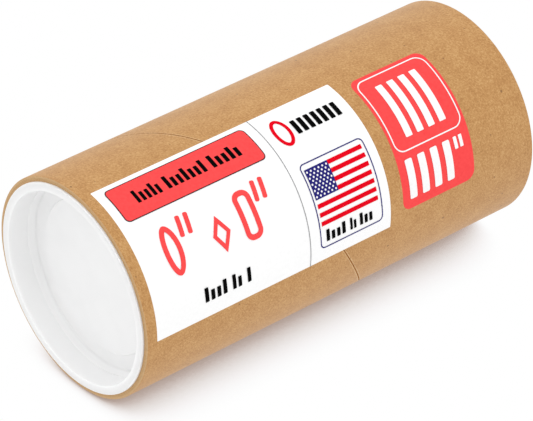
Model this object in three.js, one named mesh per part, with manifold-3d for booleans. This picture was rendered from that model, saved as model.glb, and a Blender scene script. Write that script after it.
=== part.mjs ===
// Round mailing tube: a spiral-wound paperboard tube with a moulded plug cap in each end,
// a white shipping label and a red badge label stuck round its front.
// Millimetres, +Z up along the tube. The origin is at the middle of the face it stands on,
// and the labels face -Y.

import * as THREE from 'three';
import { mergeVertices } from 'three/addons/utils/BufferGeometryUtils.js';
import Module from 'manifold-3d';

const wasm = await Module();
wasm.setup();

// Tube
const boreDiameter = 76.2;
const tubeWall = 3.56;
const tubeLength = 177.8;
const cutEdgeRound = 0.4;

// Ply seams: the gap between the turns of the outer ply and of the bore's ply
const plyPitch = 148.5;
const seamWidth = 0.5;
const seamDepth = 0.3;
const outerSeamHeight = 108.4;
const boreSeamHeight = 46;

// Plug cap
const capHeight = 12.7;
const flangeThickness = 0.86;
const flangeOverhang = 1.24;
const plugClearance = 0.08;
const skirtWall = 1.3;
const skirtDraft = 0.12;
const leadInLength = 4.2;
const leadInTaper = 0.8;
const noseRound = 0.7;
const lipRound = 0.4;
const floorThickness = 1.3;
const floorRound = 0.7;
const panelMargin = 5.9;
const panelRise = 0.35;
const beadHeight = 0.35;
const beadWidth = 1.2;
const beadDepths = [5.4, 2.4];

// Labels: width runs round the tube and height along it
const labelThickness = 0.12;
const glueLine = 0.04;
const shippingLabel = { width: 59.9, height: 105.4, corner: 0.3, arc: -1.4, middle: 121.4, turn: -0.35 };
const badgeLabel = { width: 53.2, height: 34.4, corner: 3.4, arc: -1.7, middle: 45.1, turn: 0 };

// Facets
const turnSteps = 72;
const roundSteps = 2;
const cornerSteps = 3;
const stepAngle = (2 * Math.PI) / turnSteps;

const boreRadius = boreDiameter / 2;
const tubeRadius = boreRadius + tubeWall;
const lowerSeat = flangeThickness;
const upperSeat = lowerSeat + tubeLength;

const board = new THREE.MeshStandardMaterial({ color: 0xc79d68, roughness: 0.85, metalness: 0 });
const capPlastic = new THREE.MeshStandardMaterial({ color: 0xefefee, roughness: 0.4, metalness: 0 });
const whitePaper = new THREE.MeshStandardMaterial({ color: 0xfbfbfb, roughness: 0.6, metalness: 0 });
const redPaper = new THREE.MeshStandardMaterial({ color: 0xff5252, roughness: 0.6, metalness: 0 });

// Turns [radius, height, round] corners into profile points, each round as a short curve
function roundedProfile(corners) {
  const at = ([radius, height]) => new THREE.Vector2(radius, height);
  return corners.flatMap((corner, i) => {
    const tip = at(corner);
    const round = corner[2];
    if (!round) return [tip];
    const before = at(corners.at(i - 1));
    const after = at(corners[(i + 1) % corners.length]);
    const start = tip.clone().add(before.sub(tip).setLength(round));
    const end = tip.clone().add(after.sub(tip).setLength(round));
    return new THREE.QuadraticBezierCurve(start, tip, end).getPoints(roundSteps);
  });
}

// Revolves a profile about +Z, with one vertex line at the middle of the front
function turned(profile) {
  return new THREE.LatheGeometry(profile, turnSteps).rotateX(Math.PI / 2);
}

function indexedGeometry(positions, indices) {
  const geometry = new THREE.BufferGeometry();
  geometry.setAttribute('position', new THREE.Float32BufferAttribute(positions, 3));
  geometry.setIndex(indices);
  return geometry;
}

function solidOf(geometry) {
  const bare = geometry.clone().deleteAttribute('normal').deleteAttribute('uv');
  const merged = mergeVertices(bare);
  return new wasm.Manifold(new wasm.Mesh({
    numProp: 3,
    vertProperties: new Float32Array(merged.attributes.position.array),
    triVerts: new Uint32Array(merged.index.array),
  }));
}

function geometryOf(solid) {
  const mesh = solid.getMesh();
  return indexedGeometry(Array.from(mesh.vertProperties), Array.from(mesh.triVerts));
}

// Two triangles for a quad whose corners run anticlockwise, seen from outside
const quad = (a, b, c, d) => [a, b, c, a, c, d];

// A strip that winds up the wall as a ply does, from below the tube to above it.
// It covers seamWidth across the seam, and the radii from inner to outer.
function seamStrip({ inner, outer, heightAtFront }) {
  const lean = Math.atan(plyPitch / (2 * Math.PI * inner));
  const lowAngle = (2 * Math.PI * (-seamWidth * 2 - heightAtFront)) / plyPitch;
  const highAngle = (2 * Math.PI * (tubeLength + seamWidth * 2 - heightAtFront)) / plyPitch;
  const steps = Math.ceil((highAngle - lowAngle) / stepAngle);
  const positions = [];
  const indices = [];
  for (let i = 0; i <= steps; i++) {
    const angle = lowAngle + ((highAngle - lowAngle) * i) / steps;
    const height = heightAtFront + (plyPitch * angle) / (2 * Math.PI);
    for (const [radius, side] of [[inner, -1], [outer, -1], [outer, 1], [inner, 1]]) {
      const across = (side * seamWidth) / 2;
      const turn = angle - (across * Math.sin(lean)) / inner;
      const z = height + across * Math.cos(lean);
      positions.push(radius * Math.sin(turn), -radius * Math.cos(turn), z);
    }
    if (i === steps) break;
    for (let k = 0; k < 4; k++) {
      const a = 4 * i + k;
      const b = 4 * i + ((k + 1) % 4);
      indices.push(...quad(a, a + 4, b + 4, b));
    }
  }
  const last = 4 * steps;
  indices.push(...quad(0, 1, 2, 3), ...quad(last + 3, last + 2, last + 1, last));
  return solidOf(indexedGeometry(positions, indices));
}

// The wall, its four cut edges a little rounded, with an open seam outside and in the bore
function spiralTube() {
  const profile = roundedProfile([
    [boreRadius, 0, cutEdgeRound],
    [tubeRadius, 0, cutEdgeRound],
    [tubeRadius, tubeLength, cutEdgeRound],
    [boreRadius, tubeLength, cutEdgeRound],
  ]);
  profile.push(profile[0].clone());
  const outerSeam = seamStrip({
    inner: tubeRadius - seamDepth,
    outer: tubeRadius + seamDepth,
    heightAtFront: outerSeamHeight,
  });
  const boreSeam = seamStrip({
    inner: boreRadius - seamDepth,
    outer: boreRadius + seamDepth,
    heightAtFront: boreSeamHeight,
  });
  return geometryOf(solidOf(turned(profile)).subtract(outerSeam).subtract(boreSeam));
}

// One sealing bead on the skirt, as profile corners from its lower edge up
function bead(skirtRadius, depth) {
  const crest = skirtRadius + beadHeight;
  return [
    [skirtRadius, -depth - beadWidth / 2, 0],
    [crest, -depth - beadWidth / 4, 0],
    [crest, -depth + beadWidth / 4, 0],
    [skirtRadius, -depth + beadWidth / 2, 0],
  ];
}

// A cup-shaped plug, with height 0 where its flange sits on the tube's cut end.
// The skirt carries two sealing beads and tapers to a nose, and the floor has a raised panel.
function plugCap() {
  const plugDepth = capHeight - flangeThickness;
  const skirtRadius = boreRadius - plugClearance - beadHeight;
  const noseRadius = skirtRadius - leadInTaper;
  const mouthRadius = skirtRadius - skirtWall;
  const floorRadius = mouthRadius - skirtDraft - leadInTaper;
  const floorHeight = floorThickness - plugDepth;
  const taperHeight = leadInLength - plugDepth;
  const panelRadius = floorRadius - panelMargin;
  return turned(roundedProfile([
    [0, -plugDepth, 0],
    [noseRadius, -plugDepth, noseRound],
    [skirtRadius, taperHeight, 0],
    ...beadDepths.flatMap((depth) => bead(skirtRadius, depth)),
    [skirtRadius, 0, 0],
    [boreRadius + flangeOverhang, 0, 0],
    [boreRadius + flangeOverhang, flangeThickness, lipRound],
    [mouthRadius, flangeThickness, lipRound],
    [mouthRadius - skirtDraft, taperHeight, 0],
    [floorRadius, floorHeight, floorRound],
    [panelRadius, floorHeight, 0],
    [panelRadius - panelRise, floorHeight + panelRise, 0],
    [0, floorHeight + panelRise, 0],
  ]));
}

// A thin sheet with rounded corners, turned a little on the wall and stuck round it
function wrappedSheet({ width, height, corner, arc, middle, turn }) {
  const innerRadius = (tubeRadius + glueLine) / Math.cos(stepAngle / 2);
  const flat = width / 2 - corner;
  const flatSteps = Math.ceil((2 * flat) / (tubeRadius * stepAngle));
  const columns = [];
  for (let i = 0; i <= flatSteps; i++) columns.push([flat * ((2 * i) / flatSteps - 1), height / 2]);
  for (let i = 1; i <= cornerSteps; i++) {
    const bend = (Math.PI / 2) * (i / cornerSteps);
    const across = flat + corner * Math.sin(bend);
    const half = height / 2 - corner + corner * Math.cos(bend);
    columns.push([across, half]);
    columns.unshift([-across, half]);
  }
  const tilt = THREE.MathUtils.degToRad(turn);
  const positions = columns.flatMap(([across, half]) => {
    const place = (up, radius) => {
      const round = (arc + across * Math.cos(tilt) - up * Math.sin(tilt)) / tubeRadius;
      const z = middle + across * Math.sin(tilt) + up * Math.cos(tilt);
      return [radius * Math.sin(round), -radius * Math.cos(round), z];
    };
    const outerRadius = innerRadius + labelThickness;
    return [
      ...place(-half, innerRadius),
      ...place(-half, outerRadius),
      ...place(half, outerRadius),
      ...place(half, innerRadius),
    ];
  });
  const indices = [];
  const last = 4 * (columns.length - 1);
  for (let i = 0; i < last; i += 4) {
    for (let k = 0; k < 4; k++) {
      const a = i + k;
      const b = i + ((k + 1) % 4);
      indices.push(...quad(a, a + 4, b + 4, b));
    }
  }
  indices.push(...quad(0, 1, 2, 3), ...quad(last + 3, last + 2, last + 1, last));
  return indexedGeometry(positions, indices);
}

function named(name, geometry, material, height) {
  const mesh = new THREE.Mesh(geometry, material);
  mesh.name = name;
  mesh.position.z = height;
  return mesh;
}

const mailingTube = new THREE.Group();
mailingTube.add(
  named('spiral_tube', spiralTube(), board, lowerSeat),
  named('top_end_cap', plugCap(), capPlastic, upperSeat),
  named('bottom_end_cap', plugCap(), capPlastic, lowerSeat),
  named('shipping_label', wrappedSheet(shippingLabel), whitePaper, lowerSeat),
  named('badge_label', wrappedSheet(badgeLabel), redPaper, lowerSeat),
);
mailingTube.getObjectByName('bottom_end_cap').rotation.x = Math.PI;

export default mailingTube;
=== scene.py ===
"""Dresses a spiral-wound mailing tube: board wall, plug caps, labels and their plain print.

Sizes are in metres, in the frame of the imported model: +Z runs up the tube, and the labels face -Y.
The marks printed on the labels are given in millimetres, on the tube unrolled.
"""

import logging
import math
from dataclasses import dataclass, field, replace
from enum import Enum
from typing import Any, Callable, Sequence, Union

import bpy
from mathutils import Matrix, Vector


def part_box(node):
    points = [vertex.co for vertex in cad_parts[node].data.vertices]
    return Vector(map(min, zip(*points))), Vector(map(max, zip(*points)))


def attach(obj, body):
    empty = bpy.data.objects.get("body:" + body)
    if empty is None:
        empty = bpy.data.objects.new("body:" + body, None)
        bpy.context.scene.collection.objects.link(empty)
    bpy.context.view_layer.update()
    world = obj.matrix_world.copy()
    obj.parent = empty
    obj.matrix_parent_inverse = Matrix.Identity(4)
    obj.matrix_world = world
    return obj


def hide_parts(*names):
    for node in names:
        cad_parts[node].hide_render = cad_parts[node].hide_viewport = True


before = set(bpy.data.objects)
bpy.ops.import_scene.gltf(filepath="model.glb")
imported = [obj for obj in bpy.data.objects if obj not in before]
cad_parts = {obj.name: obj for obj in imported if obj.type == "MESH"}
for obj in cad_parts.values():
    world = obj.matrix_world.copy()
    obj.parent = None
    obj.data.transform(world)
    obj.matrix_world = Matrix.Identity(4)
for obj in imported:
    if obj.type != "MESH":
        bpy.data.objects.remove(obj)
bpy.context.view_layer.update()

log = logging.getLogger("mailing_tube")

MM = 0.001
TURN = 2 * math.pi
# The front faces -Y, a quarter of a turn back from +X, where angles start
FRONT_TURN = 0.25
# Points nearer than this are one point
SAME_POINT = 0.0005 * MM

Object = bpy.types.Object
Material = bpy.types.Material
Socket = bpy.types.NodeSocket
Node = bpy.types.Node
Tree = bpy.types.NodeTree
Inputs = Union[dict[Any, Any], Sequence[Any]]
Stops = Sequence[tuple[float, str]]
Corner = tuple[float, float, float]
Ring = tuple[float, float]


class Body(Enum):
    """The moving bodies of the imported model."""

    TUBE = "tube_body"
    TOP_CAP = "top_cap_body"
    BOTTOM_CAP = "bottom_cap_body"


class Slot(Enum):
    """The record's material slots."""

    BOARD = "board"
    CAP = "cap_plastic"
    LABEL = "label_paper"
    BADGE = "badge_paper"


class WallFace(Enum):
    """The kinds of face on the wound wall, each with the number of its finish."""

    OUTSIDE = 0
    BORE = 1
    CUT_END = 2
    SEAM = 3


# Colours and nodes


def linear(hex_colour: str) -> tuple[float, float, float, float]:
    """Turns an sRGB hex colour to linear values.

    Args:
        hex_colour: Six hex digits, such as "C79D68".

    Returns:
        Linear red, green and blue, and an alpha of 1.
    """
    parts = [int(hex_colour[i:i + 2], 16) / 255 for i in (0, 2, 4)]
    values = [p / 12.92 if p <= 0.04045 else ((p + 0.055) / 1.055) ** 2.4 for p in parts]
    return (values[0], values[1], values[2], 1.0)


def add_node(
    tree: Tree,
    kind: str,
    inputs: Inputs = (),
    stops: Stops = (),
    **settings: Any,
) -> Node:
    """Adds one shader node with its settings and links.

    Args:
        tree: The node tree that gets the node.
        kind: The node's type name, without its ShaderNode start.
        inputs: Values, or sockets that feed them: by input name or number, or in order.
        stops: Places and hex colours of a colour ramp, from low to high.
        **settings: The node's own properties.

    Returns:
        The new node.
    """
    node = tree.nodes.new("ShaderNode" + kind)
    for name, value in settings.items():
        setattr(node, name, value)
    for name, value in inputs.items() if isinstance(inputs, dict) else enumerate(inputs):
        if isinstance(value, bpy.types.NodeSocket):
            tree.links.new(value, node.inputs[name])
        else:
            node.inputs[name].default_value = value
    for i, (place, hex_colour) in enumerate(stops):
        elements = node.color_ramp.elements
        element = elements[i] if i < len(elements) else elements.new(place)
        element.position = place
        element.color = linear(hex_colour)
    return node


def lay_over(tree: Tree, colour: Socket, mask: Socket, share: float, hex_colour: str) -> Socket:
    """Lays a second colour over the first where a mask says.

    Args:
        tree: The material's node tree.
        colour: The first colour.
        mask: 1 where the second colour goes, and 0 elsewhere.
        share: How much of the second colour covers the first there.
        hex_colour: The second colour.

    Returns:
        The mixed colour's socket.
    """
    amount = add_node(tree, "Math", (mask, share), operation="MULTIPLY").outputs[0]
    colours = {0: amount, 6: colour, 7: linear(hex_colour)}
    return add_node(tree, "Mix", colours, data_type="RGBA", clamp_result=True).outputs[2]


@dataclass(frozen=True)
class Blotches:
    """A noise pattern: how wide its blotches are, how many finer layers it has, and their strength."""

    size: float
    detail: float = 2.0
    rough: float = 0.5

    def on(self, place: Socket) -> dict[str, Any]:
        """Gives a noise node's inputs, so that its blotches have their real size at these coordinates."""
        return {"Vector": place, "Scale": 1 / self.size, "Detail": self.detail, "Roughness": self.rough}


@dataclass(frozen=True)
class Surface:
    """One finish's start: a Principled shader on a new material."""

    name: str
    roughness: float
    ior: float = 1.5

    def begin(self) -> tuple[Material, Node, Socket]:
        """Makes the material.

        Returns:
            The material, its Principled shader and its object coordinates.
        """
        material = bpy.data.materials.new(self.name)
        material.use_nodes = True
        shader = material.node_tree.nodes["Principled BSDF"]
        shader.inputs["Roughness"].default_value = self.roughness
        shader.inputs["IOR"].default_value = self.ior
        place = add_node(material.node_tree, "TexCoord").outputs["Object"]
        return material, shader, place


def dress(material: Material, shader: Node, colour: Socket, height: Socket, depth: float) -> Material:
    """Feeds a shader its colour and its fine relief.

    Args:
        material: The material that is finished.
        shader: Its Principled shader.
        colour: The base colour.
        height: The relief, from 0 to 1.
        depth: The relief's height in metres.

    Returns:
        The material.
    """
    tree = material.node_tree
    bump = add_node(tree, "Bump", {"Height": height, "Strength": 1.0, "Distance": depth})
    tree.links.new(colour, shader.inputs["Base Color"])
    tree.links.new(bump.outputs["Normal"], shader.inputs["Normal"])
    return material


# Finishes


@dataclass(frozen=True)
class WoundBoard:
    """Brown paperboard wound in a spiral: long fibres run along each ply, and the face is matt."""

    name: str
    radius: float
    pitch: float
    seam_height: float
    pale: str = "D2A66C"
    middle: str = "BF8D52"
    dark: str = "A8753D"
    # Where the three tones stand on the noise, which seldom goes past them
    tone_places: tuple[float, float, float] = (0.36, 0.5, 0.64)
    roughness: float = 0.8
    # Loose surface fibres catch light where the face is seen at a slant
    fuzz: float = 0.16
    fuzz_roughness: float = 0.5
    clouds: Blotches = Blotches(6.0 * MM, 3.0, 0.6)
    pulp: Blotches = Blotches(0.7 * MM, 2.0, 0.8)
    # Real fibres are 0.03 mm wide: these are as coarse as they need to be to show
    fibres: Blotches = Blotches(0.4 * MM, 3.0, 0.6)
    fibre_length: float = 1.5 * MM
    # How much each of them counts in the tone
    cloud_share: float = 0.18
    pulp_share: float = 0.52
    fibre_share: float = 0.3
    relief: float = 0.012 * MM
    # The ply was slit before it was wound. The pale band of ragged width along each side of the seam is a
    # painted highlight of the lit ply edges
    seam_highlight: str = "E2C08F"
    seam_highlight_width: float = 0.55 * MM
    seam_highlight_share: float = 0.55
    speck: str = "6E4A28"
    speck_share: float = 0.65
    # Flecks of bark and darker pulp: about this far apart, and none wider than this
    speck_spacing: float = 15.0 * MM
    speck_size: float = 1.0 * MM

    def unrolled(self, tree: Tree, place: Socket) -> tuple[Socket, Socket]:
        """Gives each point its place on its own ply, laid flat, so that the pattern breaks at the seam.

        Args:
            tree: The material's node tree.
            place: Object coordinates.

        Returns:
            Coordinates with X along the ply and Y across it, and the way to the nearest seam, in metres.
        """
        axes = add_node(tree, "SeparateXYZ", (place,)).outputs
        angle = add_node(tree, "Math", (axes["Y"], axes["X"]), operation="ARCTAN2").outputs[0]
        from_front = (angle, 1 / TURN, FRONT_TURN)
        turns = add_node(tree, "Math", from_front, operation="MULTIPLY_ADD").outputs[0]
        climb = add_node(tree, "Math", (turns, self.pitch), operation="MULTIPLY").outputs[0]
        over_seam = add_node(tree, "Math", (axes["Z"], self.seam_height), operation="SUBTRACT").outputs[0]
        above = add_node(tree, "Math", (over_seam, climb), operation="SUBTRACT").outputs[0]
        share = add_node(tree, "Math", (above, self.pitch), operation="DIVIDE").outputs[0]
        ply = add_node(tree, "Math", (share,), operation="FLOOR").outputs[0]
        wound = add_node(tree, "Math", (turns, ply), operation="ADD").outputs[0]
        way_round = add_node(tree, "Math", (wound, TURN * self.radius), operation="MULTIPLY").outputs[0]
        flat = add_node(tree, "CombineXYZ", (way_round, axes["Z"], ply)).outputs[0]
        lean = math.atan(self.pitch / (TURN * self.radius))
        turned = {"Vector": flat, "Rotation": (0.0, 0.0, -lean)}
        along = add_node(tree, "Mapping", turned).outputs[0]
        nearest = add_node(tree, "Math", (share, 0.5), operation="PINGPONG").outputs[0]
        ply_width = self.pitch * math.cos(lean)
        apart = add_node(tree, "Math", (nearest, ply_width), operation="MULTIPLY").outputs[0]
        return along, apart

    def make(self) -> Material:
        """Makes the material.

        Returns:
            The finish.
        """
        material, shader, place = Surface(self.name, self.roughness).begin()
        shader.inputs["Sheen Weight"].default_value = self.fuzz
        shader.inputs["Sheen Roughness"].default_value = self.fuzz_roughness
        tree = material.node_tree
        flat, apart = self.unrolled(tree, place)
        stretch = {"Vector": flat, "Scale": (self.fibres.size / self.fibre_length, 1.0, 1.0)}
        along = add_node(tree, "Mapping", stretch).outputs[0]
        fibres = add_node(tree, "TexNoise", self.fibres.on(along)).outputs["Fac"]
        clouds = add_node(tree, "TexNoise", self.clouds.on(flat)).outputs["Fac"]
        pulp = add_node(tree, "TexNoise", self.pulp.on(place)).outputs["Fac"]
        tone: Any = 0.0
        patterns = ((clouds, self.cloud_share), (pulp, self.pulp_share), (fibres, self.fibre_share))
        for pattern, share in patterns:
            tone = add_node(tree, "Math", (pattern, share, tone), operation="MULTIPLY_ADD").outputs[0]
        tones = tuple(zip(self.tone_places, (self.dark, self.middle, self.pale)))
        colour = add_node(tree, "ValToRGB", (tone,), tones).outputs["Color"]
        # Painted highlight: a pale band along each side of the seam, its width made ragged by the pulp
        # noise
        ragged = add_node(tree, "Math", (pulp, 2 * self.seam_highlight_width), operation="MULTIPLY").outputs[0]
        edge = add_node(tree, "Math", (apart, ragged), operation="LESS_THAN").outputs[0]
        colour = lay_over(tree, colour, edge, self.seam_highlight_share, self.seam_highlight)
        speck = self.speck_mask(tree, flat)
        colour = lay_over(tree, colour, speck, self.speck_share, self.speck)
        return dress(material, shader, colour, fibres, self.relief)

    def speck_mask(self, tree: Tree, flat: Socket) -> Socket:
        """Scatters specks over the ply, each with a size of its own.

        Args:
            tree: The material's node tree.
            flat: Coordinates along and across the ply.

        Returns:
            1 on a speck, and 0 elsewhere.
        """
        spread = {"Vector": flat, "Scale": 1 / self.speck_spacing}
        cells = add_node(tree, "TexVoronoi", spread, voronoi_dimensions="2D").outputs
        chance = add_node(tree, "SeparateColor", (cells["Color"],)).outputs[0]
        widest = self.speck_size / self.speck_spacing / 2
        reach = add_node(tree, "Math", (chance, widest), operation="MULTIPLY").outputs[0]
        return add_node(tree, "Math", (cells["Distance"], reach), operation="LESS_THAN").outputs[0]


@dataclass(frozen=True)
class CutPlies:
    """The sawn end of the board: glued plies show as rings, and the outermost is painted a little paler,
    a painted highlight of the rounded outer edge.
    """

    name: str
    bore: float
    wall: float
    ply: float = 0.45 * MM
    pale: str = "D0A878"
    dark: str = "A98659"
    tone_places: tuple[float, float] = (0.3, 0.75)
    roughness: float = 0.9
    # The rings aren't quite true, because the glue lines wander by half a ply
    wander: Blotches = Blotches(6 * MM)
    pulp: Blotches = Blotches(0.7 * MM, 3.0, 0.7)
    ring_share: float = 0.5
    pulp_share: float = 0.75
    # A painted highlight of the rounded outer edge: the outermost ring, nearly two plies wide, is laid
    # over paler
    rim_highlight: str = "E0C096"
    rim_highlight_plies: float = 1.8
    rim_highlight_share: float = 0.2
    relief: float = 0.06 * MM

    def make(self) -> Material:
        """Makes the material.

        Returns:
            The finish.
        """
        material, shader, place = Surface(self.name, self.roughness).begin()
        tree = material.node_tree
        flat = add_node(tree, "Mapping", {"Vector": place, "Scale": (1.0, 1.0, 0.0)}).outputs[0]
        radius = add_node(tree, "VectorMath", (flat,), operation="LENGTH").outputs["Value"]
        drift = add_node(tree, "TexNoise", self.wander.on(place)).outputs["Fac"]
        strayed = (drift, 0.5 * self.ply, radius)
        wandered = add_node(tree, "Math", strayed, operation="MULTIPLY_ADD").outputs[0]
        depth = add_node(tree, "Math", (wandered, self.ply), operation="DIVIDE").outputs[0]
        ring = add_node(tree, "Math", (depth, 0.5), operation="PINGPONG").outputs[0]
        pulp = add_node(tree, "TexNoise", self.pulp.on(place)).outputs["Fac"]
        grain = add_node(tree, "Math", (pulp, self.pulp_share), operation="MULTIPLY").outputs[0]
        tone = add_node(tree, "Math", (ring, self.ring_share, grain), operation="MULTIPLY_ADD").outputs[0]
        tones = tuple(zip(self.tone_places, (self.dark, self.pale)))
        colour = add_node(tree, "ValToRGB", (tone,), tones).outputs["Color"]
        # Painted highlight: the outermost ring is laid over paler
        rim_highlight_radius = self.bore + self.wall - self.rim_highlight_plies * self.ply
        rim_highlight = add_node(tree, "Math", (radius, rim_highlight_radius), operation="GREATER_THAN").outputs[0]
        colour = lay_over(tree, colour, rim_highlight, self.rim_highlight_share, self.rim_highlight)
        return dress(material, shader, colour, tone, self.relief)


@dataclass(frozen=True)
class MouldedPolyethylene:
    """White moulded polyethylene: satin, with the faint unevenness of a cooled moulding."""

    name: str
    colour: str = "F9F9F9"
    shade: str = "F6F6F6"
    tone_places: tuple[float, float] = (0.35, 0.65)
    roughness: float = 0.38
    ior: float = 1.51
    # Light spreads a few millimetres through the thin walls
    spread: float = 3.0 * MM
    spread_share: float = 0.6
    drift: Blotches = Blotches(14 * MM)
    # The face sinks and swells very slightly as it cools
    swell: Blotches = Blotches(5 * MM, 3.0)
    relief: float = 0.02 * MM

    def make(self) -> Material:
        """Makes the material.

        Returns:
            The finish.
        """
        material, shader, place = Surface(self.name, self.roughness, self.ior).begin()
        shader.inputs["Subsurface Weight"].default_value = self.spread_share
        shader.inputs["Subsurface Radius"].default_value = (1.0, 1.0, 1.0)
        shader.inputs["Subsurface Scale"].default_value = self.spread
        tree = material.node_tree
        drift = add_node(tree, "TexNoise", self.drift.on(place)).outputs["Fac"]
        tones = tuple(zip(self.tone_places, (self.shade, self.colour)))
        colour = add_node(tree, "ValToRGB", (drift,), tones).outputs["Color"]
        swell = add_node(tree, "TexNoise", self.swell.on(place)).outputs["Fac"]
        return dress(material, shader, colour, swell, self.relief)


@dataclass(frozen=True)
class Paper:
    """Smooth coated label paper, plain or printed: a faint fibre cloud and an even sheen."""

    name: str
    colour: str
    shade: str
    tone_places: tuple[float, float] = (0.3, 0.6)
    roughness: float = 0.7
    shine: float = 0.1
    cloud: Blotches = Blotches(1.2 * MM, 3.0, 0.6)
    relief: float = 0.008 * MM

    def make(self) -> Material:
        """Makes the material.

        Returns:
            The finish.
        """
        material, shader, place = Surface(self.name, self.roughness).begin()
        shader.inputs["Specular IOR Level"].default_value = self.shine
        tree = material.node_tree
        cloud = add_node(tree, "TexNoise", self.cloud.on(place)).outputs["Fac"]
        tones = tuple(zip(self.tone_places, (self.shade, self.colour)))
        colour = add_node(tree, "ValToRGB", (cloud,), tones).outputs["Color"]
        return dress(material, shader, colour, cloud, self.relief)


# Modelling helpers


def deselect_all() -> None:
    """Leaves nothing selected, in object mode."""
    if bpy.context.object and bpy.context.object.mode != "OBJECT":
        bpy.ops.object.mode_set(mode="OBJECT")
    bpy.ops.object.select_all(action="DESELECT")


def take(piece: Object) -> None:
    """Makes one piece the only one selected, and active.

    Args:
        piece: The piece.
    """
    deselect_all()
    piece.select_set(True)
    bpy.context.view_layer.objects.active = piece


def settle(piece: Object, name: str, smooth_under: float = 35.0) -> Object:
    """Ends a piece: it is named, its place goes into its mesh and its shading is set.

    Args:
        piece: The piece, in any mode.
        name: Its name.
        smooth_under: Edges below this angle in degrees are shaded smooth.

    Returns:
        The piece.
    """
    take(piece)
    piece.name = piece.data.name = name
    bpy.ops.object.transform_apply(location=True, rotation=True, scale=True)
    bpy.ops.object.shade_smooth_by_angle(angle=math.radians(smooth_under))
    deselect_all()
    log.info("%s built, with %d faces", name, len(piece.data.polygons))
    return piece


def apply_modifier(piece: Object, kind: str, **settings: Any) -> None:
    """Adds one modifier and applies it.

    Args:
        piece: The piece, in object mode.
        kind: The modifier's type.
        **settings: The modifier's own properties.
    """
    take(piece)
    modifier = piece.modifiers.new(kind.title(), kind)
    for name, value in settings.items():
        setattr(modifier, name, value)
    bpy.ops.object.modifier_apply(modifier=modifier.name)


def rounded(corners: Sequence[Corner], steps: int = 5) -> list[Ring]:
    """Rounds the corners of a turned profile.

    Args:
        corners: Radius, height and round of each corner, in order.
        steps: Steps of each round.

    Returns:
        Radius and height of each ring.
    """
    rings: list[Ring] = []
    for i, (radius, height, bend) in enumerate(corners):
        tip = Vector((radius, height))
        if not bend:
            rings.append((radius, height))
            continue
        before = Vector(corners[i - 1][:2])
        after = Vector(corners[(i + 1) % len(corners)][:2])
        start = tip + (before - tip).normalized() * bend
        end = tip + (after - tip).normalized() * bend
        for k in range(steps + 1):
            t = k / steps
            point = start * (1 - t) ** 2 + tip * 2 * t * (1 - t) + end * t * t
            rings.append((point.x, point.y))
    return rings


def turn_up(rings: Sequence[Ring], steps: int, closed: bool) -> Object:
    """Draws a round piece up from its first ring, each next ring extruded and scaled.

    Args:
        rings: Radius and height of each ring.
        steps: Points on each ring.
        closed: The last ring meets the first, as on a wall. Otherwise both ends are discs.

    Returns:
        The piece, in object mode.
    """
    deselect_all()
    fill = "NOTHING" if closed else "NGON"
    radius, height = rings[0]
    bpy.ops.mesh.primitive_circle_add(vertices=steps, radius=radius, fill_type=fill)
    piece = bpy.context.object
    bpy.ops.object.mode_set(mode="EDIT")
    bpy.ops.transform.translate(value=(0.0, 0.0, height))
    for next_radius, next_height in [*rings[1:], *([rings[0]] if closed else [])]:
        lift = {"value": (0.0, 0.0, next_height - height)}
        bpy.ops.mesh.extrude_region_move(TRANSFORM_OT_translate=lift)
        grow = next_radius / radius
        bpy.ops.transform.resize(value=(grow, grow, 1.0), center_override=(0.0, 0.0, next_height))
        radius, height = next_radius, next_height
    bpy.ops.mesh.select_all(action="SELECT")
    bpy.ops.mesh.remove_doubles(threshold=SAME_POINT)
    bpy.ops.mesh.normals_make_consistent(inside=False)
    bpy.ops.object.mode_set(mode="OBJECT")
    return piece


def finish_faces(piece: Object, materials: Sequence[Material], pick: Callable[[Any], Enum]) -> None:
    """Gives each face its finish.

    Args:
        piece: The piece.
        materials: Its finishes.
        pick: Tells a face's kind, whose value is the number of its finish.
    """
    for material in materials:
        piece.data.materials.append(material)
    for polygon in piece.data.polygons:
        polygon.material_index = pick(polygon).value


# The object's pieces


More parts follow.
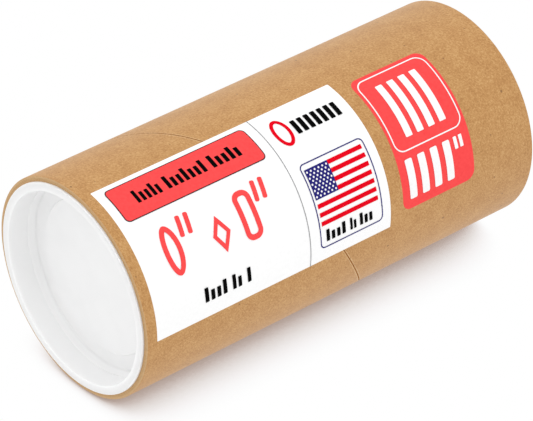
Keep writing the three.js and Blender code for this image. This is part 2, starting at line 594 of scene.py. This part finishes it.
@dataclass
class TubeWall:
    """The spiral-wound board tube, with the open seam of its outer ply and of its bore's ply."""

    bore: float = 38.1 * MM
    edge_round: float = 0.4 * MM
    pitch: float = 148.5 * MM
    seam_width: float = 0.5 * MM
    seam_depth: float = 0.3 * MM
    outer_seam: float = 108.4 * MM
    bore_seam: float = 46.0 * MM
    # The cut ends and their rounded edges lie within this of each end, and face up or down
    end_zone: float = 1 * MM
    end_facing: float = 0.75
    # The seam's own faces lie between these shares of its depth under the outside
    seam_shares: tuple[float, float] = (0.1, 1.5)
    steps: int = 288
    low: float = field(init=False)
    high: float = field(init=False)
    radius: float = field(init=False)

    def __post_init__(self) -> None:
        """Reads the wall's place from the frame."""
        lowest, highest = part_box("spiral_tube")
        self.low, self.high, self.radius = lowest.z, highest.z, highest.y

    def seam_strip(self, inner: float, front_height: float) -> Object:
        """Winds a closed strip up the wall, to be cut out of it.

        Args:
            inner: The strip's inner radius.
            front_height: Its height above the tube's low end where it crosses the front.

        Returns:
            The strip.
        """
        margin = 4 * self.seam_width
        lean = math.atan(self.pitch / (TURN * inner))
        start_turn = (-margin - front_height) / self.pitch - FRONT_TURN
        turns = (self.high - self.low + 2 * margin) / self.pitch
        deselect_all()
        bpy.ops.mesh.primitive_plane_add(size=1.0)
        strip = bpy.context.object
        bpy.ops.object.mode_set(mode="EDIT")
        bpy.ops.transform.rotate(value=math.pi / 2, orient_axis="X", center_override=(0.0, 0.0, 0.0))
        size = (2 * self.seam_depth, 1.0, self.seam_width / math.cos(lean))
        bpy.ops.transform.resize(value=size, center_override=(0.0, 0.0, 0.0))
        place = (inner + self.seam_depth, 0.0, self.low - margin)
        bpy.ops.transform.translate(value=place)
        bpy.ops.object.mode_set(mode="OBJECT")
        strip.data.transform(Matrix.Rotation(start_turn * TURN, 4, "Z"))
        steps = math.ceil(self.steps * turns)
        apply_modifier(
            strip, "SCREW", angle=turns * TURN, screw_offset=turns * self.pitch,
            steps=steps, render_steps=steps, use_merge_vertices=True,
        )
        bpy.ops.object.mode_set(mode="EDIT")
        bpy.ops.mesh.select_all(action="SELECT")
        bpy.ops.mesh.fill_holes(sides=4)
        bpy.ops.mesh.select_all(action="SELECT")
        bpy.ops.mesh.normals_make_consistent(inside=False)
        bpy.ops.object.mode_set(mode="OBJECT")
        return strip

    def cut(self, wall: Object, strip: Object) -> None:
        """Cuts a strip out of the wall and throws it away."""
        apply_modifier(wall, "BOOLEAN", operation="DIFFERENCE", solver="EXACT", object=strip)
        bpy.data.objects.remove(strip)

    def which(self, polygon: Any) -> WallFace:
        """Tells the outside, the bore, the cut ends and the seam apart.

        Args:
            polygon: A face of the wall.

        Returns:
            Its kind.
        """
        centre = polygon.center
        radius = math.hypot(centre.x, centre.y)
        between_ends = self.low + self.end_zone < centre.z < self.high - self.end_zone
        if abs(polygon.normal.z) > self.end_facing and not between_ends:
            return WallFace.CUT_END
        least, most = self.seam_shares
        if between_ends and least < (self.radius - radius) / self.seam_depth < most:
            return WallFace.SEAM
        return WallFace.OUTSIDE if radius > self.bore + 2 * self.seam_depth else WallFace.BORE

    def finishes(self) -> list[Material]:
        """Makes the wall's finishes.

        Returns:
            The finishes, in the order of their numbers.
        """
        outside = WoundBoard("brown_paperboard", self.radius, self.pitch, self.low + self.outer_seam)
        inside = WoundBoard(
            "grey_chipboard_bore", self.bore, self.pitch, self.low + self.bore_seam,
            pale="CDB28C", middle="BC9D74", dark="A98A62",
        )
        ends = CutPlies("sawn_board_edge", self.bore, self.radius - self.bore)
        # The seam's groove: bare board under the outer ply, browner, and darker as painted shade in the
        # groove, without loose fibres or the painted highlight
        seam = replace(
            outside, name="seam_board_painted_shade",
            pale="C98E48", middle="B67C38", dark="9E682C", fuzz=0.0, seam_highlight_share=0.0,
        )
        return [outside.make(), inside.make(), ends.make(), seam.make()]

    def build(self) -> Object:
        """Builds and dresses the tube.

        Returns:
            The finished piece.
        """
        profile = [
            (self.bore, self.low, self.edge_round),
            (self.radius, self.low, self.edge_round),
            (self.radius, self.high, self.edge_round),
            (self.bore, self.high, self.edge_round),
        ]
        wall = turn_up(rounded(profile), self.steps, closed=True)
        self.cut(wall, self.seam_strip(self.radius - self.seam_depth, self.outer_seam))
        self.cut(wall, self.seam_strip(self.bore - self.seam_depth, self.bore_seam))
        finish_faces(wall, self.finishes(), self.which)
        piece = settle(wall, "wound_board_tube", smooth_under=30.0)
        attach(piece, Body.TUBE.value)
        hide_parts("spiral_tube")
        return piece


@dataclass
class PlugCap:
    """A moulded plug: flange, drafted skirt with sealing beads, nose, and a floor with a raised panel."""

    node: str
    name: str
    body: Body
    faces_up: bool
    bore: float = 38.1 * MM
    flange: float = 0.86 * MM
    # The photograph shows the flange this much wider than the plain part has it
    flange_spread: float = 0.3 * MM
    clearance: float = 0.08 * MM
    skirt_wall: float = 1.3 * MM
    draft: float = 0.12 * MM
    lead_in: float = 4.2 * MM
    taper: float = 0.8 * MM
    taper_round: float = 0.8 * MM
    step: float = 0.22 * MM
    step_round: float = 0.1 * MM
    nose_round: float = 0.7 * MM
    lip_round: float = 0.4 * MM
    floor: float = 1.3 * MM
    floor_round: float = 0.7 * MM
    panel_margin: float = 5.9 * MM
    panel_rise: float = 0.35 * MM
    panel_round: float = 0.12 * MM
    bead_height: float = 0.35 * MM
    bead_width: float = 1.2 * MM
    bead_depths: tuple[float, float] = (5.4 * MM, 2.4 * MM)
    bead_foot_round: float = 0.1 * MM
    bead_crest_round: float = 0.2 * MM
    # A flat disc of this radius closes the profile at the axis
    hub: float = 1 * MM
    steps: int = 240

    def corners(self) -> list[Corner]:
        """Lists the profile's corners.

        Returns:
            Radius, height over the tube's cut end, and round of each corner.
        """
        lowest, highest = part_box(self.node)
        depth = highest.z - lowest.z - self.flange
        skirt = self.bore - self.clearance - self.bead_height
        mouth = skirt - self.skirt_wall
        inside = mouth - self.draft - self.taper
        panel = inside - self.panel_margin
        ground = self.floor - depth
        edge = highest.x + self.flange_spread
        crest = skirt + self.bead_height
        half = self.bead_width / 2
        beads: list[Corner] = []
        for at in self.bead_depths:
            beads += [
                (skirt, -at - half, self.bead_foot_round),
                (crest, -at - half / 2, self.bead_crest_round),
                (crest, -at + half / 2, self.bead_crest_round),
                (skirt, -at + half, self.bead_foot_round),
            ]
        return [
            (self.hub, -depth, 0.0),
            (skirt - self.taper, -depth, self.nose_round),
            (skirt, self.lead_in - depth, self.taper_round),
            *beads,
            (skirt, 0.0, 0.0),
            (edge, 0.0, 0.0),
            (edge, self.flange, self.lip_round),
            (mouth, self.flange, self.lip_round),
            (mouth - self.draft, self.lead_in - depth + self.step, self.step_round),
            (mouth - self.draft - self.step, self.lead_in - depth, self.step_round),
            (inside, ground, self.floor_round),
            (panel, ground, self.panel_round),
            (panel - self.panel_rise, ground + self.panel_rise, self.panel_round),
            (self.hub, ground + self.panel_rise, 0.0),
        ]

    def build(self, plastic: Material) -> Object:
        """Builds and dresses the cap.

        Args:
            plastic: Its finish.

        Returns:
            The finished piece.
        """
        lowest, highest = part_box(self.node)
        seat = highest.z - self.flange if self.faces_up else lowest.z + self.flange
        piece = turn_up(rounded(self.corners()), self.steps, closed=False)
        piece.data.materials.append(plastic)
        turn = Matrix.Identity(4) if self.faces_up else Matrix.Rotation(math.pi, 4, "X")
        piece.matrix_world = Matrix.Translation((0.0, 0.0, seat)) @ turn @ piece.matrix_world
        settle(piece, self.name)
        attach(piece, self.body.value)
        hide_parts(self.node)
        return piece


# Labels and their print


@dataclass(frozen=True)
class Mark:
    """One flat shape on the unrolled tube, in millimetres: X runs round the tube, and Y up it."""

    x: float
    y: float
    width: float
    height: float
    # The round of its corners
    bend: float = 0.0
    # How far it is turned, in radians
    lean: float = 0.0

    def spot(self) -> tuple[Corner, Corner]:
        """Gives its middle and its size in metres."""
        return (self.x * MM, self.y * MM, 0.0), (self.width * MM, self.height * MM, 1.0)

    def row(self, count: int, pitch: float) -> list["Mark"]:
        """Lists this mark and its copies, each one a pitch further down the tube than the last."""
        return [replace(self, y=self.y - pitch * i) for i in range(count)]


@dataclass(frozen=True)
class BlockLine:
    """A line of plain upright blocks of two heights, which runs down the tube, in millimetres."""

    x: float
    tall: float
    # Where each group starts, how many blocks it has, and a block's width with its gap
    groups: tuple[tuple[float, int, float], ...]
    # Two blocks in three have this share of the full height, and all stand on one line
    short: float = 0.72
    # A block's width and the round of its corners, as shares of its pitch
    filled: float = 0.62
    bend: float = 0.1

    def marks(self) -> list[Mark]:
        """Lists the line's blocks.

        Returns:
            The blocks, from the top down.
        """
        blocks = []
        for start, count, pitch in self.groups:
            for i in range(count):
                tall = self.tall * (self.short if i % 3 else 1.0)
                x, y = self.x - (self.tall - tall) / 2, start - pitch * (i + 0.5)
                blocks.append(Mark(x, y, tall, pitch * self.filled, pitch * self.bend))
        return blocks


@dataclass(frozen=True)
class Flag:
    """A flag of plain stripes, with staggered dots on its dark field, in millimetres.

    Its top edge faces +X, and its stripes run down the tube.
    """

    top: float = 2.45
    stripe: float = 1.604
    stripes: int = 13
    start: float = 99.45
    end: float = 73.55
    # This many stripes start only where the dark field ends
    stripes_cut_short: int = 7
    field_end: float = 89.15
    dark_field: Mark = Mark(-3.18, 94.3, 11.24, 10.3)
    dot: Mark = Mark(1.36, 98.64, 0.78, 0.74)
    dot_rows: int = 9
    dot_columns: int = 11
    row_pitch: float = 1.153
    column_pitch: float = 0.868

    def bright_stripes(self) -> list[Mark]:
        """Lists every second stripe, from the first.

        Returns:
            The stripes, from the top edge.
        """
        bars = []
        for i in range(0, self.stripes, 2):
            start = self.field_end if i < self.stripes_cut_short else self.start
            length = start - self.end
            x, y = self.top - self.stripe * (i + 0.5), self.end + length / 2
            bars.append(Mark(x, y, self.stripe, length))
        return bars

    def dots(self) -> list[Mark]:
        """Lists the dots.

        Returns:
            The dots, row by row, with every second row half a pitch along.
        """
        spots = []
        for i in range(self.dot_rows):
            for k in range(i % 2, self.dot_columns, 2):
                x = self.dot.x - self.row_pitch * i
                spots.append(replace(self.dot, x=x, y=self.dot.y - self.column_pitch * k))
        return spots


@dataclass
class FlatShapes:
    """Flat shapes of one finish, drawn on the unrolled tube, wrapped round it and thickened."""

    name: str
    radius: float
    thickness: float
    arc_step: float = 1.2 * MM
    corner_steps: int = 8
    same_point: float = 0.002 * MM
    # A label laid on by hand bows a little, less so towards the top end
    bow: float = 1.25
    bow_middle: float = 3.0 * MM
    bow_end: float = 190.0 * MM
    bow_fade: float = 85.0 * MM
    piece: Object = field(init=False)

    def __post_init__(self) -> None:
        """Opens an empty mesh in edit mode."""
        deselect_all()
        bpy.ops.mesh.primitive_plane_add()
        self.piece = bpy.context.object
        bpy.ops.object.mode_set(mode="EDIT")
        bpy.ops.mesh.delete(type="VERT")

    def bars(self, *marks: Mark) -> None:
        """Adds bars with rounded corners.

        Args:
            *marks: The bars.
        """
        for mark in marks:
            middle, size = mark.spot()
            bpy.ops.mesh.primitive_plane_add(size=1.0, location=middle)
            bpy.ops.transform.resize(value=size, center_override=middle)
            if mark.lean:
                bpy.ops.transform.rotate(value=mark.lean, orient_axis="Z", center_override=middle)
            if mark.bend:
                bpy.ops.mesh.bevel(offset=mark.bend * MM, segments=self.corner_steps, affect="VERTICES")

    def discs(self, *marks: Mark, points: int) -> None:
        """Adds round or oval fields.

        Args:
            *marks: The fields.
            points: Points on the edge of each.
        """
        circle = {"vertices": points, "radius": 0.5, "fill_type": "NGON"}
        for mark in marks:
            middle, size = mark.spot()
            bpy.ops.mesh.primitive_circle_add(location=middle, **circle)
            bpy.ops.transform.resize(value=size, center_override=middle)

    def hollow(self, line: float) -> None:
        """Turns the shape added last into an outline of that line width in millimetres."""
        bpy.ops.mesh.inset(thickness=line * MM)
        bpy.ops.mesh.delete(type="FACE")

    def cut_in_strips(self) -> None:
        """Cuts the shapes along the tube at every arc step, so that they can bend."""
        bpy.ops.object.mode_set(mode="OBJECT")
        arcs = [vertex.co.x for vertex in self.piece.data.vertices]
        first = math.floor(min(arcs) / self.arc_step) + 1
        last = math.ceil(max(arcs) / self.arc_step)
        bpy.ops.object.mode_set(mode="EDIT")
        for i in range(first, last):
            bpy.ops.mesh.select_all(action="SELECT")
            bpy.ops.mesh.bisect(plane_co=(i * self.arc_step, 0.0, 0.0), plane_no=(1.0, 0.0, 0.0))
        bpy.ops.mesh.select_all(action="SELECT")
        bpy.ops.mesh.remove_doubles(threshold=self.same_point)
        bpy.ops.object.mode_set(mode="OBJECT")

    def wrap(self, material: Material, lift: float = 0.0) -> Object:
        """Wraps the shapes round the tube and thickens them.

        Args:
            material: Their finish.
            lift: How far off the radius they lie.

        Returns:
            The finished piece.
        """
        self.cut_in_strips()
        radius = self.radius + lift
        for vertex in self.piece.data.vertices:
            x, y = vertex.co.x, vertex.co.y
            share = min(1.0, (self.bow_end - y) / self.bow_fade)
            y += self.bow * share * (x - self.bow_middle) ** 2
            angle = x / self.radius
            vertex.co = (radius * math.sin(angle), -radius * math.cos(angle), y)
        take(self.piece)
        bpy.ops.object.mode_set(mode="EDIT")
        bpy.ops.mesh.select_all(action="SELECT")
        bpy.ops.mesh.flip_normals()
        bpy.ops.object.mode_set(mode="OBJECT")
        apply_modifier(self.piece, "SOLIDIFY", thickness=self.thickness, offset=1.0)
        self.piece.data.materials.append(material)
        settle(self.piece, self.name, smooth_under=30.0)
        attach(self.piece, Body.TUBE.value)
        return self.piece


@dataclass
class Labels:
    """The white shipping label and the red badge label, with plain print on both."""

    radius: float
    glue: float = 0.04 * MM
    paper: float = 0.12 * MM
    ink: float = 0.01 * MM

    # The white label's upper field: a header, and large plain marks under it
    white: Mark = Mark(-1.43, 121.3, 60.05, 106.1, 0.3)
    header_edge: Mark = Mark(19.27, 140.1, 14.65, 61.4, 2.0)
    header: Mark = Mark(19.27, 140.1, 13.95, 60.7, 1.7)
    header_blocks: BlockLine = BlockLine(
        19.6, 5.4, ((162.8, 5, 2.3), (149.6, 7, 2.57), (130.0, 5, 2.75)),
    )
    oval: Mark = Mark(-3.0, 160.2, 18.0, 7.4)
    oval_line: float = 1.95
    diamond: Mark = Mark(-5.0, 140.0, 13.4, 7.6)
    diamond_line: float = 1.5
    loop: Mark = Mark(-3.0, 127.2, 18.0, 7.4, 3.2)
    loop_line: float = 2.0
    tick: Mark = Mark(3.5, 0.0, 7.6, 1.8, 0.6, math.radians(10.5))
    tick_heights: tuple[float, ...] = (153.85, 150.4, 121.0, 117.5)
    foot_blocks: BlockLine = BlockLine(
        -22.7, 5.4, ((153.3, 4, 2.68), (141.0, 2, 2.45), (134.4, 1, 2.5)),
    )

    # Its lower field: a small ring with bars, and a flag in a rounded outline
    divider_height: float = 105.3
    divider_line: float = 0.3
    small_ring: Mark = Mark(18.1, 97.95, 11.8, 7.1)
    small_ring_line: float = 1.35
    ring_bar: Mark = Mark(17.95, 91.85, 5.9, 1.95, 0.25)
    flag: Flag = Flag()
    flag_outline: Mark = Mark(-11.0, 86.35, 31.5, 28.7, 2.0)
    flag_outline_line: float = 0.42
    flag_blocks: BlockLine = BlockLine(
        -22.4, 4.4, ((98.4, 4, 2.4), (87.4, 2, 1.7), (83.0, 3, 2.17)),
    )

    # The badge: bars in a rounded outline, and a row of bars and ticks beside it
    badge: Mark = Mark(-1.4, 45.35, 53.0, 33.9, 3.6)
    badge_outline: Mark = Mark(8.3, 45.38, 30.5, 31.45, 4.1)
    badge_outline_line: float = 0.5
    badge_bar: Mark = Mark(8.25, 53.2, 21.5, 3.0, 0.35)
    badge_row_bar: Mark = Mark(-16.9, 57.3, 14.7, 3.3, 0.6)
    badge_tick: Mark = Mark(-11.8, 35.3, 4.5, 1.5, 0.25)

    def sheet(self, name: str, node: str, size: Mark, paper: Paper) -> None:
        """Builds one blank label.

        Args:
            name: The piece's name.
            node: The CAD node that it stands for.
            size: Its outline.
            paper: Its finish.
        """
        shapes = FlatShapes(name, self.radius + self.glue, self.paper)
        shapes.bars(size)
        piece = shapes.wrap(paper.make())
        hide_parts(node)

    def print_on(self, name: str, layer: int, draw: Callable[[FlatShapes], None], ink: Material) -> None:
        """Prints shapes of one ink, each layer an ink's thickness clear of the last.

        Args:
            name: The piece's name.
            layer: 1 for the lowest ink.
            draw: Adds the shapes.
            ink: The ink's finish.
        """
        shapes = FlatShapes(name, self.radius + self.glue, self.ink)
        draw(shapes)
        shapes.wrap(ink, self.paper + 2 * self.ink * (layer - 0.5))

    def build(self) -> None:
        """Builds both labels and their print."""
        white_paper = Paper("coated_white_paper", "FDFDFD", "FAFAFA")
        red_paper = Paper("coated_red_paper", "FB4F4F", "F74849")
        self.sheet("white_label", "shipping_label", self.white, white_paper)
        self.sheet("red_badge", "badge_label", self.badge, red_paper)
        soft_red = Paper("soft_red_ink", "FB4F4F", "F74849").make()
        # The deep inks take away most of the paper's shine
        black = Paper("black_ink", "070707", "040404", shine=0.02).make()
        bright_red = Paper("bright_red_ink", "E9021E", "E0001A", shine=0.04).make()
        navy = Paper("navy_ink", "2C2878", "262270", shine=0.04).make()
        white = Paper("white_ink", "FBFBFB", "F6F6F5").make()
        grey = Paper("grey_ink", "9A9A9C", "8E8E90").make()
        maroon = Paper("dark_outline_ink", "3A1217", "300E12").make()
        self.print_on("header_outline", 1, self.header_field, maroon)
        self.print_on("soft_red_print", 2, self.large_marks, soft_red)
        self.print_on("black_print", 3, self.block_lines, black)
        self.print_on("divider_line", 1, self.divider, grey)
        self.print_on("navy_print", 1, self.navy_marks, navy)
        self.print_on("bright_red_print", 1, self.bright_marks, bright_red)
        self.print_on("canton_dots", 2, self.flag_dots, white)
        self.print_on("badge_print", 1, self.badge_marks, white)

    def header_field(self, shapes: FlatShapes) -> None:
        """Draws the dark field that shows as a thin line round the header."""
        shapes.bars(self.header_edge)

    def large_marks(self, shapes: FlatShapes) -> None:
        """Draws the header's field and the large plain marks under it.

        Args:
            shapes: The drawing that gets them.
        """
        shapes.bars(self.header)
        shapes.discs(self.oval, points=56)
        shapes.hollow(self.oval_line)
        shapes.discs(self.diamond, points=4)
        shapes.hollow(self.diamond_line)
        shapes.bars(self.loop)
        shapes.hollow(self.loop_line)
        shapes.bars(*(replace(self.tick, y=y) for y in self.tick_heights))

    def block_lines(self, shapes: FlatShapes) -> None:
        """Draws the white label's lines of blocks, and the bars beside the small ring.

        Args:
            shapes: The drawing that gets them.
        """
        for line in (self.header_blocks, self.foot_blocks, self.flag_blocks):
            shapes.bars(*line.marks())
        shapes.bars(*self.ring_bar.row(count=7, pitch=3.02))

    def divider(self, shapes: FlatShapes) -> None:
        """Draws the hairline between the label's two fields."""
        shapes.bars(Mark(self.white.x, self.divider_height, self.white.width, self.divider_line))

    def navy_marks(self, shapes: FlatShapes) -> None:
        """Draws the rounded outline and the flag's dark field.

        Args:
            shapes: The drawing that gets them.
        """
        shapes.bars(self.flag_outline)
        shapes.hollow(self.flag_outline_line)
        shapes.bars(self.flag.dark_field)

    def bright_marks(self, shapes: FlatShapes) -> None:
        """Draws the flag's stripes and the small ring.

        Args:
            shapes: The drawing that gets them.
        """
        shapes.bars(*self.flag.bright_stripes())
        shapes.discs(self.small_ring, points=40)
        shapes.hollow(self.small_ring_line)

    def flag_dots(self, shapes: FlatShapes) -> None:
        """Draws the staggered dots on the flag's dark field."""
        shapes.discs(*self.flag.dots(), points=10)

    def badge_marks(self, shapes: FlatShapes) -> None:
        """Draws the badge's outline, its bars and its ticks.

        Args:
            shapes: The drawing that gets them.
        """
        shapes.bars(self.badge_outline)
        shapes.hollow(self.badge_outline_line)
        shapes.bars(*self.badge_bar.row(count=4, pitch=5.27))
        shapes.bars(*self.badge_row_bar.row(count=4, pitch=5.9))
        shapes.bars(*self.badge_tick.row(count=2, pitch=2.5))


# The stage


@dataclass
class Stage:
    """The floor that the tube lies on as the camera sees it, the light and the camera."""

    radius: float
    # The camera, from a fit to the tube's outline and end rings in the photograph
    camera_place: tuple[float, float, float] = (0.0, -1.1048, 0.77282)
    camera_aim: tuple[float, float, float] = (-0.00458, 0.0, 0.09445)
    camera_roll: float = math.radians(115.6)
    lens: float = 245.29
    clip: tuple[float, float] = (0.05, 50.0)
    # Which way is down for a level camera that sees the tube lie, as an angle round +Z
    down_angle: float = math.radians(138.3)
    tube_middle: float = 0.09
    # The soft lamp: its way over the lying tube and towards its near end, its side, and its watts
    lamp_over: float = 1.2
    lamp_ahead: float = 0.3
    lamp_size: float = 1.4
    lamp_power: float = 2.6
    floor_size: float = 6.0
    floor_gap: float = 0.2 * MM
    # The floor's middle is moved along by this, because light from its diagonal leaves a pale line
    floor_shift: float = 0.5
    # The shadow stays close under the tube, and is warm from the board
    shadow_reach: float = 34 * MM
    shadow_samples: int = 24
    # More light comes over the far end, so the shadow leans out past the near one
    light_lean: float = math.radians(20)
    shadow_tones: tuple[tuple[float, str], ...] = (
        (0.188, "A89488"), (0.207, "B09D93"), (0.224, "C3B2A9"), (0.25, "D1C3BE"), (0.288, "DCD3CE"),
        (0.338, "E6E1DE"), (0.426, "F6F2F2"), (0.52, "FCFCFC"), (0.62, "FFFFFF"),
    )

    def up(self) -> Vector:
        """Gives the way off the floor."""
        return -Vector((math.cos(self.down_angle), math.sin(self.down_angle), 0.0))

    def camera(self) -> None:
        """Makes the camera."""
        place = Vector(self.camera_place)
        ahead = (Vector(self.camera_aim) - place).normalized()
        level_right = ahead.cross(Vector((0.0, 0.0, 1.0))).normalized()
        level_up = level_right.cross(ahead)
        up = level_up * math.cos(self.camera_roll) + level_right * math.sin(self.camera_roll)
        right = ahead.cross(up)
        turn = Matrix((right, up, -ahead)).transposed().to_4x4()
        data = bpy.data.cameras.new("camera")
        data.lens = self.lens
        data.clip_start, data.clip_end = self.clip
        camera = bpy.data.objects.new("camera", data)
        camera.matrix_world = Matrix.Translation(place) @ turn
        bpy.context.scene.collection.objects.link(camera)
        bpy.context.scene.camera = camera

    def floor_finish(self) -> Material:
        """Makes the floor's material: white with the tube's soft shadow, and clear from below.

        Returns:
            The material.
        """
        material = bpy.data.materials.new("pale_floor")
        material.use_nodes = True
        tree = material.node_tree
        tree.nodes.clear()
        far_way = Vector((0.0, 0.0, -math.sin(self.light_lean)))
        light_way = self.up() * math.cos(self.light_lean) + far_way
        # The shading node reads its normal only from a link
        axis = add_node(tree, "CombineXYZ", tuple(light_way)).outputs[0]
        sky = {"Distance": self.shadow_reach, "Normal": axis}
        open_sky = add_node(tree, "AmbientOcclusion", sky, samples=self.shadow_samples).outputs["AO"]
        shade = add_node(tree, "ValToRGB", (open_sky,), self.shadow_tones).outputs["Color"]
        lit = add_node(tree, "Emission", {"Color": shade}).outputs[0]
        clear = add_node(tree, "BsdfTransparent").outputs[0]
        behind = add_node(tree, "NewGeometry").outputs["Backfacing"]
        side = add_node(tree, "MixShader", (behind, lit, clear)).outputs[0]
        add_node(tree, "OutputMaterial", {"Surface": side})
        return material

    def floor(self) -> None:
        """Makes the floor, along the side that the tube lies on."""
        deselect_all()
        bpy.ops.mesh.primitive_plane_add(size=self.floor_size)
        floor = bpy.context.object
        floor.data.transform(Matrix.Translation((self.floor_shift, 0.0, 0.0)))
        turn = self.up().to_track_quat("Z", "Y").to_matrix().to_4x4()
        under = Vector((0.0, 0.0, self.tube_middle)) - self.up() * (self.radius + self.floor_gap)
        floor.matrix_world = Matrix.Translation(under) @ turn
        floor.name = "pale_floor"
        floor.data.materials.append(self.floor_finish())
        # The rays that find its soft shadow start on it, and it would stop them
        floor.visible_shadow = False

    def world(self) -> None:
        """Makes the plain white surroundings."""
        world = bpy.data.worlds.new("white_room")
        bpy.context.scene.world = world
        world.use_nodes = True
        tree = world.node_tree
        tree.nodes.clear()
        light = add_node(tree, "Background", {"Color": linear("FFFFFF"), "Strength": 1.0}).outputs[0]
        add_node(tree, "OutputWorld", {"Surface": light})

    def lamp(self) -> None:
        """Makes the soft square lamp that looks at the tube."""
        data = bpy.data.lights.new("high_lamp", "AREA")
        data.size, data.energy = self.lamp_size, self.lamp_power
        lamp = bpy.data.objects.new("high_lamp", data)
        offset = self.up() * self.lamp_over + Vector((0.0, 0.0, self.lamp_ahead))
        turn = offset.to_track_quat("Z", "Y").to_matrix().to_4x4()
        lamp.matrix_world = Matrix.Translation(Vector((0.0, 0.0, self.tube_middle)) + offset) @ turn
        bpy.context.scene.collection.objects.link(lamp)

    def build(self) -> None:
        """Builds the stage and sets how colours are shown."""
        self.camera()
        self.floor()
        self.world()
        self.lamp()
        bpy.context.scene.view_settings.view_transform = "Standard"
        log.info("stage built")


def main() -> None:
    """Builds the object's pieces in order, then the stage."""
    wall = TubeWall()
    wall.build()
    plastic = MouldedPolyethylene("white_polyethylene").make()
    PlugCap("top_end_cap", "top_plug_cap", Body.TOP_CAP, True).build(plastic)
    PlugCap("bottom_end_cap", "bottom_plug_cap", Body.BOTTOM_CAP, False).build(plastic)
    Labels(wall.radius).build()
    Stage(wall.radius).build()


if __name__ == "__main__":
    logging.basicConfig(level=logging.INFO)
    main()
